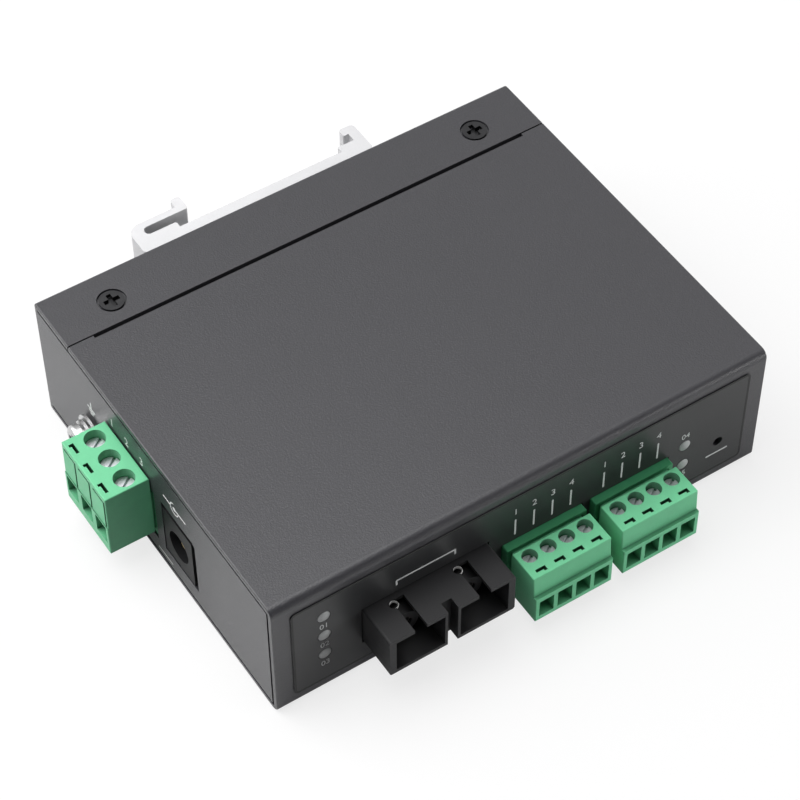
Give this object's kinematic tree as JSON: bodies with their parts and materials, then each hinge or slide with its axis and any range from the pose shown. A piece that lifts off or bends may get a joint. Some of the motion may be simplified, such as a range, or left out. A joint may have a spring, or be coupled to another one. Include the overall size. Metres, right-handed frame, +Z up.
{
  "type": "rail-mount fibre converter",
  "caption": "Flat folded-sheet converter box with a duplex fibre port, pull-off green screw terminals, lamps and a power jack, and a clip that hooks a mounting rail.",
  "frame": {"origin": "centre of the case's underside", "axes": "+X along the front away from the power end, +Y from the front panel to the rail clip, +Z up from the face that the case lies on"},
  "size_m": [0.1089, 0.0983, 0.0285],
  "materials": {
    "case_paint": "fine-grained dark grey powder coat",
    "panel_film": "satin dark film",
    "black_screw": "black oxide",
    "clip_aluminium": "extruded, clear anodised",
    "bright_steel": "nickel plated",
    "clamp_steel": "zinc plated",
    "tinned_pin": "tin plated brass",
    "contact_brass": "bare brass",
    "plug_green": "moulded, satin",
    "header_green": "moulded, satin",
    "black_plastic": "moulded, satin",
    "sleeve_ceramic": "ground ceramic",
    "tin_can": "tinned sheet",
    "lamp_lens": "frosted clear",
    "board_resin": "solder resist",
    "chip_resin": "moulded epoxy",
    "can_aluminium": "drawn can"
  },
  "bodies": {
    "case": {"front_cover": "case_paint", "rear_chassis": "case_paint", "front_film": "panel_film", "case_screws": "black_screw", "rail_clip": "clip_aluminium", "rail_clip_screws": "bright_steel", "main_board": "board_resin", "board_posts": "contact_brass", "board_screws": "bright_steel", "fibre_housing": "black_plastic", "fibre_sleeves": "sleeve_ceramic", "transceiver_shield": "tin_can", "jack_body": "black_plastic", "jack_pin": "contact_brass", "earth_screw": "bright_steel", "earth_flat_washer": "bright_steel", "earth_lock_washer": "bright_steel", "status_lamps": "lamp_lens", "link_lamps": "lamp_lens", "lamp_holders": "black_plastic", "reset_switch": "black_plastic", "board_chips": "chip_resin", "supply_module": "chip_resin", "capacitors": "can_aluminium", "signal_a_header": "header_green", "signal_a_header_pins": "tinned_pin", "signal_b_header": "header_green", "signal_b_header_pins": "tinned_pin", "power_header": "header_green", "power_header_pins": "tinned_pin"},
    "plug_a": {"signal_a_plug": "plug_green", "signal_a_plug_contacts": "tinned_pin"},
    "screw_a1": {"signal_a_screw_1": "clamp_steel"},
    "cage_a1": {"signal_a_cage_1": "clamp_steel"},
    "screw_a2": {"signal_a_screw_2": "clamp_steel"},
    "cage_a2": {"signal_a_cage_2": "clamp_steel"},
    "screw_a3": {"signal_a_screw_3": "clamp_steel"},
    "cage_a3": {"signal_a_cage_3": "clamp_steel"},
    "screw_a4": {"signal_a_screw_4": "clamp_steel"},
    "cage_a4": {"signal_a_cage_4": "clamp_steel"},
    "plug_b": {"signal_b_plug": "plug_green", "signal_b_plug_contacts": "tinned_pin"},
    "screw_b1": {"signal_b_screw_1": "clamp_steel"},
    "cage_b1": {"signal_b_cage_1": "clamp_steel"},
    "screw_b2": {"signal_b_screw_2": "clamp_steel"},
    "cage_b2": {"signal_b_cage_2": "clamp_steel"},
    "screw_b3": {"signal_b_screw_3": "clamp_steel"},
    "cage_b3": {"signal_b_cage_3": "clamp_steel"},
    "screw_b4": {"signal_b_screw_4": "clamp_steel"},
    "cage_b4": {"signal_b_cage_4": "clamp_steel"},
    "plug_p": {"power_plug": "plug_green", "power_plug_contacts": "tinned_pin"},
    "screw_p1": {"power_screw_1": "clamp_steel"},
    "cage_p1": {"power_cage_1": "clamp_steel"},
    "screw_p2": {"power_screw_2": "clamp_steel"},
    "cage_p2": {"power_cage_2": "clamp_steel"},
    "screw_p3": {"power_screw_3": "clamp_steel"},
    "cage_p3": {"power_cage_3": "clamp_steel"},
    "reset_key": {"reset_button": "black_plastic"}
  },
  "joints": [
    {"name": "plug_a_pull", "type": "slide", "parent": "case", "child": "plug_a", "axis": [0, -1, 0], "range_m": [0, 0.0086]},
    {"name": "screw_a1_turn", "type": "hinge", "parent": "plug_a", "child": "screw_a1", "pos_m": [0.01579, -0.04435, 0.01135], "axis": [0, 0, -1], "range_deg": [0, 1440]},
    {"name": "cage_a1_lift", "type": "slide", "parent": "plug_a", "child": "cage_a1", "axis": [0, 0, 1], "range_m": [0, 0.0016]},
    {"name": "screw_a2_turn", "type": "hinge", "parent": "plug_a", "child": "screw_a2", "pos_m": [0.0196, -0.04435, 0.01135], "axis": [0, 0, -1], "range_deg": [0, 1440]},
    {"name": "cage_a2_lift", "type": "slide", "parent": "plug_a", "child": "cage_a2", "axis": [0, 0, 1], "range_m": [0, 0.0016]},
    {"name": "screw_a3_turn", "type": "hinge", "parent": "plug_a", "child": "screw_a3", "pos_m": [0.02341, -0.04435, 0.01135], "axis": [0, 0, -1], "range_deg": [0, 1440]},
    {"name": "cage_a3_lift", "type": "slide", "parent": "plug_a", "child": "cage_a3", "axis": [0, 0, 1], "range_m": [0, 0.0016]},
    {"name": "screw_a4_turn", "type": "hinge", "parent": "plug_a", "child": "screw_a4", "pos_m": [0.02722, -0.04435, 0.01135], "axis": [0, 0, -1], "range_deg": [0, 1440]},
    {"name": "cage_a4_lift", "type": "slide", "parent": "plug_a", "child": "cage_a4", "axis": [0, 0, 1], "range_m": [0, 0.0016]},
    {"name": "plug_b_pull", "type": "slide", "parent": "case", "child": "plug_b", "axis": [0, -1, 0], "range_m": [0, 0.0086]},
    {"name": "screw_b1_turn", "type": "hinge", "parent": "plug_b", "child": "screw_b1", "pos_m": [-0.00253, -0.04435, 0.01135], "axis": [0, 0, -1], "range_deg": [0, 1440]},
    {"name": "cage_b1_lift", "type": "slide", "parent": "plug_b", "child": "cage_b1", "axis": [0, 0, 1], "range_m": [0, 0.0016]},
    {"name": "screw_b2_turn", "type": "hinge", "parent": "plug_b", "child": "screw_b2", "pos_m": [0.00128, -0.04435, 0.01135], "axis": [0, 0, -1], "range_deg": [0, 1440]},
    {"name": "cage_b2_lift", "type": "slide", "parent": "plug_b", "child": "cage_b2", "axis": [0, 0, 1], "range_m": [0, 0.0016]},
    {"name": "screw_b3_turn", "type": "hinge", "parent": "plug_b", "child": "screw_b3", "pos_m": [0.00509, -0.04435, 0.01135], "axis": [0, 0, -1], "range_deg": [0, 1440]},
    {"name": "cage_b3_lift", "type": "slide", "parent": "plug_b", "child": "cage_b3", "axis": [0, 0, 1], "range_m": [0, 0.0016]},
    {"name": "screw_b4_turn", "type": "hinge", "parent": "plug_b", "child": "screw_b4", "pos_m": [0.0089, -0.04435, 0.01135], "axis": [0, 0, -1], "range_deg": [0, 1440]},
    {"name": "cage_b4_lift", "type": "slide", "parent": "plug_b", "child": "cage_b4", "axis": [0, 0, 1], "range_m": [0, 0.0016]},
    {"name": "plug_p_pull", "type": "slide", "parent": "case", "child": "plug_p", "axis": [-1, 0, 0], "range_m": [0, 0.01105]},
    {"name": "screw_p1_turn", "type": "hinge", "parent": "plug_p", "child": "screw_p1", "pos_m": [-0.0535, 0.01278, 0.0174], "axis": [0, 0, -1], "range_deg": [0, 1440]},
    {"name": "cage_p1_lift", "type": "slide", "parent": "plug_p", "child": "cage_p1", "axis": [0, 0, 1], "range_m": [0, 0.002]},
    {"name": "screw_p2_turn", "type": "hinge", "parent": "plug_p", "child": "screw_p2", "pos_m": [-0.0535, 0.0077, 0.0174], "axis": [0, 0, -1], "range_deg": [0, 1440]},
    {"name": "cage_p2_lift", "type": "slide", "parent": "plug_p", "child": "cage_p2", "axis": [0, 0, 1], "range_m": [0, 0.002]},
    {"name": "screw_p3_turn", "type": "hinge", "parent": "plug_p", "child": "screw_p3", "pos_m": [-0.0535, 0.00262, 0.0174], "axis": [0, 0, -1], "range_deg": [0, 1440]},
    {"name": "cage_p3_lift", "type": "slide", "parent": "plug_p", "child": "cage_p3", "axis": [0, 0, 1], "range_m": [0, 0.002]},
    {"name": "reset_press", "type": "slide", "parent": "case", "child": "reset_key", "axis": [0, 1, 0], "range_m": [0, 0.0003], "stiffness_N_per_m": 500}
  ],
  "couplings": [
    {"joint": "screw_a1_turn", "follows": "cage_a1_lift", "rad_per_m": 15707},
    {"joint": "screw_a2_turn", "follows": "cage_a2_lift", "rad_per_m": 15707},
    {"joint": "screw_a3_turn", "follows": "cage_a3_lift", "rad_per_m": 15707},
    {"joint": "screw_a4_turn", "follows": "cage_a4_lift", "rad_per_m": 15707},
    {"joint": "screw_b1_turn", "follows": "cage_b1_lift", "rad_per_m": 15707},
    {"joint": "screw_b2_turn", "follows": "cage_b2_lift", "rad_per_m": 15707},
    {"joint": "screw_b3_turn", "follows": "cage_b3_lift", "rad_per_m": 15707},
    {"joint": "screw_b4_turn", "follows": "cage_b4_lift", "rad_per_m": 15707},
    {"joint": "screw_p1_turn", "follows": "cage_p1_lift", "rad_per_m": 12566},
    {"joint": "screw_p2_turn", "follows": "cage_p2_lift", "rad_per_m": 12566},
    {"joint": "screw_p3_turn", "follows": "cage_p3_lift", "rad_per_m": 12566}
  ]
}
